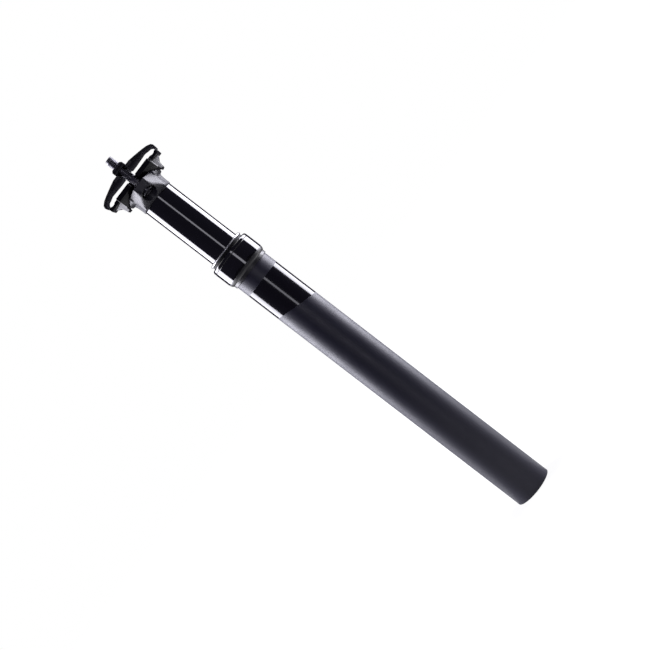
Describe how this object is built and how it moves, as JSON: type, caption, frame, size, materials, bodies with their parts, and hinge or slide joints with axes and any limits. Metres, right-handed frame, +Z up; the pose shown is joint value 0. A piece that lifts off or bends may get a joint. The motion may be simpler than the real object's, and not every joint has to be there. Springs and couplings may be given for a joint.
{
  "type": "bicycle seatpost",
  "caption": "Black telescoping bicycle seatpost: long lower tube, sprung upper tube in a collar, and a tilting rail clamp held by a bolt in front and one behind.",
  "frame": {"origin": "bottom centre of the lower tube", "axes": "+Z up the post; saddle rails along Y with the front of the bicycle at -Y; +X across"},
  "size_m": [0.0552, 0.048, 0.376],
  "materials": {
    "matte_tube": "matte black anodised",
    "gloss_tube": "polished black anodised",
    "gloss_collar": "gloss black",
    "forged_head": "satin black, forged",
    "clamp_black": "satin black anodised",
    "bolt_steel": "black oxide",
    "bright_steel": "turned",
    "bronze": "turned",
    "black_rubber": "moulded",
    "elastomer": "moulded",
    "bearing_plastic": "moulded",
    "white_plastic": "moulded"
  },
  "bodies": {
    "lower_tube_group": {"outer_tube": "matte_tube", "collar": "gloss_collar", "collar_o_ring": "black_rubber", "wiper_seal": "black_rubber", "upper_bushing": "bearing_plastic", "base_plug": "clamp_black", "rod_bolt": "bolt_steel", "push_rod": "bright_steel", "plunger": "white_plastic", "rod_nut": "bright_steel", "top_out_bumper": "black_rubber", "bottom_out_bumper": "black_rubber"},
    "upper_tube_group": {"stanchion_tube": "gloss_tube", "lower_bushing": "bearing_plastic", "guide_keys": "bronze", "foot_nut": "clamp_black", "elastomers": "elastomer", "stack_spacers": "white_plastic", "post_head": "forged_head"},
    "lower_clamp_group": {"lower_clamp": "clamp_black"},
    "upper_clamp_group": {"upper_clamp": "clamp_black"},
    "front_nut_group": {"front_nut": "bolt_steel"},
    "rear_nut_group": {"rear_nut": "bolt_steel"},
    "front_washer_group": {"front_washer": "bright_steel"},
    "rear_washer_group": {"rear_washer": "bright_steel"},
    "front_bolt_group": {"front_bolt": "bolt_steel"},
    "rear_bolt_group": {"rear_bolt": "bolt_steel"}
  },
  "joints": [
    {"name": "post_slide", "type": "slide", "parent": "lower_tube_group", "child": "upper_tube_group", "axis": [0, 0, 1], "range_m": [-0.05, 0], "stiffness_N_per_m": 25000, "springref_m": 0.006, "deforming": ["elastomers", "stack_spacers"]},
    {"name": "clamp_tilt", "type": "hinge", "parent": "upper_tube_group", "child": "lower_clamp_group", "pos_m": [0, 0, 0.3632], "axis": [1, 0, 0], "range_deg": [-8, 8]},
    {"name": "clamp_lift", "type": "slide", "parent": "lower_clamp_group", "child": "upper_clamp_group", "axis": [0, 0, 1], "range_m": [0, 0.002]},
    {"name": "front_nut_roll", "type": "hinge", "parent": "upper_clamp_group", "child": "front_nut_group", "pos_m": [0, -0.0135, 0.3632], "axis": [1, 0, 0], "range_deg": [-9, 9]},
    {"name": "front_bolt_rock", "type": "hinge", "parent": "upper_tube_group", "child": "front_washer_group", "pos_m": [0, -0.02028, 0.32662], "axis": [1, 0, 0], "range_deg": [-1, 1]},
    {"name": "front_bolt_turn", "type": "hinge", "parent": "front_washer_group", "child": "front_bolt_group", "pos_m": [0, -0.01773, 0.34039], "axis": [0, 0.1822, 0.9833], "continuous": true},
    {"name": "rear_nut_roll", "type": "hinge", "parent": "upper_clamp_group", "child": "rear_nut_group", "pos_m": [0, 0.0135, 0.3632], "axis": [1, 0, 0], "range_deg": [-9, 9]},
    {"name": "rear_bolt_rock", "type": "hinge", "parent": "upper_tube_group", "child": "rear_washer_group", "pos_m": [0, 0.02028, 0.32662], "axis": [1, 0, 0], "range_deg": [-1, 1]},
    {"name": "rear_bolt_turn", "type": "hinge", "parent": "rear_washer_group", "child": "rear_bolt_group", "pos_m": [0, 0.01773, 0.34039], "axis": [0, -0.1822, 0.9833], "continuous": true}
  ],
  "couplings": [
    {"joint": "front_nut_roll", "follows": "clamp_tilt", "ratio": -1.0661},
    {"joint": "front_bolt_rock", "follows": "clamp_tilt", "ratio": -0.0661},
    {"joint": "rear_nut_roll", "follows": "clamp_tilt", "ratio": -1.0661},
    {"joint": "rear_bolt_rock", "follows": "clamp_tilt", "ratio": -0.0661}
  ]
}
